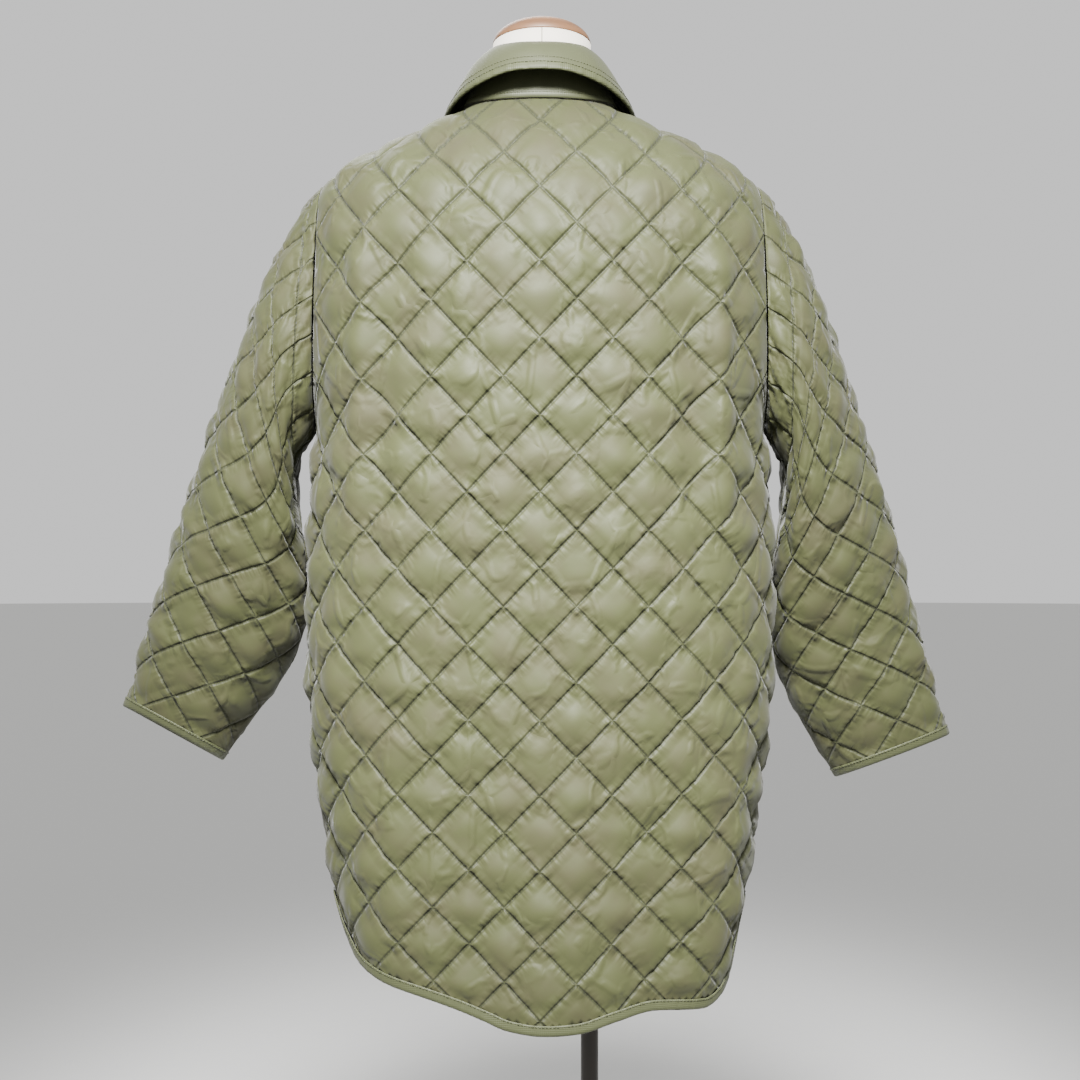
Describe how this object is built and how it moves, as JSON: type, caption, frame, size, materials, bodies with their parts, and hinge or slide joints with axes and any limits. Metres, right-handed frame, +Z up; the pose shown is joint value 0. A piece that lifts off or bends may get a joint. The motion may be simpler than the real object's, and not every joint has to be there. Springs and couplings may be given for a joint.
{
  "type": "quilted jacket on a limbless dress form with a stand",
  "caption": "Long diamond-quilted jacket with a shirt collar, wide sleeves and a bound curved hem, shown on a limbless dress form with its stand.",
  "frame": {"origin": "a point on the underside of the stand's base plate, below the middle of the jacket's neck", "axes": "+Z up, -Y towards the front of the jacket, +X towards the wearer's left"},
  "size_m": [0.9208, 0.37, 1.5018],
  "materials": {
    "quilted_cloth": "satin polyester taffeta, quilted",
    "tape": "matt folded tape",
    "snap": "satin painted caps",
    "form_cloth": "matt cream woven cover",
    "cap_wood": "satin oiled",
    "stand_paint": "satin dark brown paint"
  },
  "bodies": {
    "root": {"back": "quilted_cloth", "front_left": "quilted_cloth", "front_right": "quilted_cloth", "sleeve_left": "quilted_cloth", "sleeve_right": "quilted_cloth", "collar_stand": "quilted_cloth", "collar_fall": "quilted_cloth", "binding_back_hem": "tape", "binding_front_left": "tape", "binding_front_right": "tape", "binding_cuff_left": "tape", "binding_cuff_right": "tape", "binding_collar": "tape", "snap_1": "snap", "snap_2": "snap", "snap_3": "snap", "snap_4": "snap", "snap_5": "snap", "form_torso": "form_cloth", "form_neck_cap": "cap_wood", "form_socket": "stand_paint", "form_pole": "stand_paint", "form_base": "stand_paint"}
  },
  "joints": []
}
